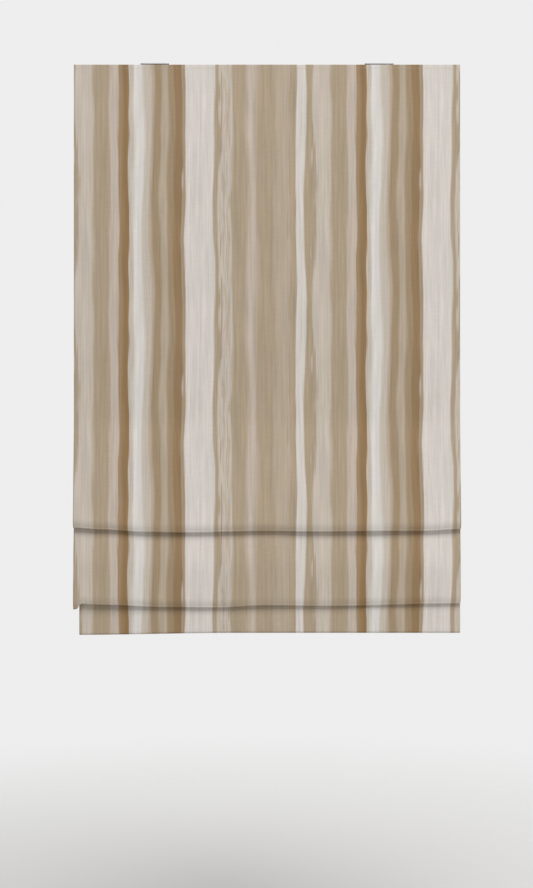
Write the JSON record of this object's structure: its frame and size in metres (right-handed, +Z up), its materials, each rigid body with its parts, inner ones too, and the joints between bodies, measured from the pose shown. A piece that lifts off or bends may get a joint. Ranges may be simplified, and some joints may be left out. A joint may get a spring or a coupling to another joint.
{
  "type": "flat roman shade",
  "caption": "Flat Roman shade of striped cloth on a headrail, partly raised so that deep folds hang near its foot, with a cordless spring lift.",
  "frame": {"origin": "midway between the two ceiling screw holes, on the ceiling plane", "axes": "+X along the headrail to the right as seen from the room, +Y from the room towards the window, +Z up"},
  "size_m": [0.772, 0.0653, 1.141],
  "materials": {
    "striped_cloth": "matt woven",
    "lining_cloth": "matt sateen",
    "tape": "napped",
    "pocket_tape": "matt woven",
    "cord": "braided",
    "white_channel": "satin white",
    "white_plastic": "satin",
    "grey_plastic": "matt",
    "zinc_steel": "zinc plated",
    "spring_steel": "bright",
    "bar_aluminium": "mill finish",
    "glass_fibre": "smooth"
  },
  "bodies": {
    "headrail": {"headrail_channel": "white_channel", "end_cap_left": "white_plastic", "end_cap_right": "white_plastic", "bracket_left": "zinc_steel", "bracket_right": "zinc_steel", "bracket_rivet_left": "zinc_steel", "bracket_rivet_right": "zinc_steel", "hook_tape": "tape", "loop_tape": "tape", "cradle_left": "white_plastic", "cradle_centre": "white_plastic", "cradle_right": "white_plastic", "spring_case": "grey_plastic", "spring_cover": "grey_plastic", "power_spring": "spring_steel", "face_fabric": "striped_cloth", "lining": "lining_cloth", "lift_cord_left": "cord", "lift_cord_centre": "cord", "lift_cord_right": "cord"},
    "lift_shaft": {"lift_shaft": "bar_aluminium", "spool_left": "white_plastic", "spool_centre": "white_plastic", "spool_right": "white_plastic", "cord_turns_left": "cord", "cord_turns_centre": "cord", "cord_turns_right": "cord", "spring_arbor": "white_plastic"},
    "bottom_bar": {"bottom_bar": "bar_aluminium", "bar_cap_left": "white_plastic", "bar_cap_right": "white_plastic", "hem_rings": "white_plastic", "cord_adjuster_left": "white_plastic", "cord_adjuster_centre": "white_plastic", "cord_adjuster_right": "white_plastic"},
    "cam_left": {"bracket_cam_left": "zinc_steel"},
    "cam_right": {"bracket_cam_right": "zinc_steel"},
    "rod_1": {"rod_1": "glass_fibre", "rod_tips_1": "white_plastic", "rod_pocket_1": "pocket_tape", "rings_1": "white_plastic"},
    "rod_2": {"rod_2": "glass_fibre", "rod_tips_2": "white_plastic", "rod_pocket_2": "pocket_tape", "rings_2": "white_plastic"},
    "rod_3": {"rod_3": "glass_fibre", "rod_tips_3": "white_plastic", "rod_pocket_3": "pocket_tape", "rings_3": "white_plastic"},
    "rod_4": {"rod_4": "glass_fibre", "rod_tips_4": "white_plastic", "rod_pocket_4": "pocket_tape", "rings_4": "white_plastic"}
  },
  "joints": [
    {"name": "lift", "type": "slide", "parent": "headrail", "child": "bottom_bar", "axis": [0, 0, 1], "range_m": [0, 0.72], "deforming": ["face_fabric", "lining", "lift_cord_left", "lift_cord_centre", "lift_cord_right"]},
    {"name": "rod_1_rise", "type": "slide", "parent": "headrail", "child": "rod_1", "axis": [0, 0, 1], "range_m": [0, 0.2052]},
    {"name": "rod_2_rise", "type": "slide", "parent": "headrail", "child": "rod_2", "axis": [0, 0, 1], "range_m": [0, 0.4888]},
    {"name": "rod_3_rise", "type": "slide", "parent": "headrail", "child": "rod_3", "axis": [0, 0, 1], "range_m": [0, 0.6109]},
    {"name": "rod_4_rise", "type": "slide", "parent": "headrail", "child": "rod_4", "axis": [0, 0, 1], "range_m": [0, 0.6951]},
    {"name": "shaft_turn", "type": "hinge", "parent": "headrail", "child": "lift_shaft", "pos_m": [0, 0.0021, -0.02], "axis": [-1, 0, 0], "range_deg": [0, 4600], "deforming": ["power_spring"]},
    {"name": "cam_left_turn", "type": "hinge", "parent": "headrail", "child": "cam_left", "pos_m": [-0.21, 0, -0.003], "axis": [0, 0, 1], "range_deg": [-90, 0]},
    {"name": "cam_right_turn", "type": "hinge", "parent": "headrail", "child": "cam_right", "pos_m": [0.21, 0, -0.003], "axis": [0, 0, 1], "range_deg": [0, 90]}
  ],
  "couplings": [
    {"joint": "rod_1_rise", "follows": "lift", "ratio": 0.28223},
    {"joint": "rod_2_rise", "follows": "lift", "ratio": 0.67615},
    {"joint": "rod_3_rise", "follows": "lift", "ratio": 0.84573},
    {"joint": "rod_4_rise", "follows": "lift", "ratio": 0.96263},
    {"joint": "shaft_turn", "follows": "lift", "rad_per_m": 111.11}
  ]
}
